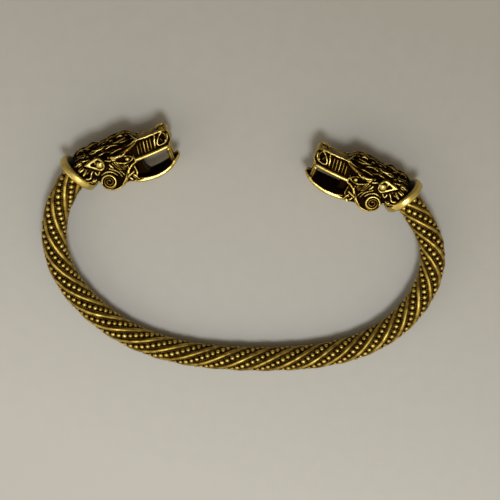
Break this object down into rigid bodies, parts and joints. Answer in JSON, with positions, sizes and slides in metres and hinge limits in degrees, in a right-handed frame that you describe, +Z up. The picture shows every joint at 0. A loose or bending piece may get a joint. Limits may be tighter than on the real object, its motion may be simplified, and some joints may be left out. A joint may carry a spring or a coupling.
{
  "type": "dragon head cuff bracelet",
  "caption": "Open cuff bracelet of smooth and beaded wires twisted round a rod, with cast dragon heads facing each other over the gap.",
  "frame": {"origin": "middle of the footprint, on the surface the cuff lies on", "axes": "+X along the cuff's width, +Y towards the two heads, +Z up from the surface"},
  "size_m": [0.08, 0.0516, 0.0093],
  "materials": {
    "dark_brass": "blackened",
    "wire_brass": "antiqued, polished on the high places",
    "bead_brass": "antiqued, dark between the beads",
    "cast_brass": "cast, antiqued, polished on the high places"
  },
  "bodies": {
    "root": {"core_rod": "dark_brass", "smooth_wire_1": "wire_brass", "smooth_wire_2": "wire_brass", "smooth_wire_3": "wire_brass", "smooth_wire_4": "wire_brass", "smooth_wire_5": "wire_brass", "beaded_wire_1": "bead_brass", "beaded_wire_2": "bead_brass", "beaded_wire_3": "bead_brass", "beaded_wire_4": "bead_brass", "beaded_wire_5": "bead_brass", "left_head": "cast_brass", "right_head": "cast_brass"}
  },
  "joints": []
}
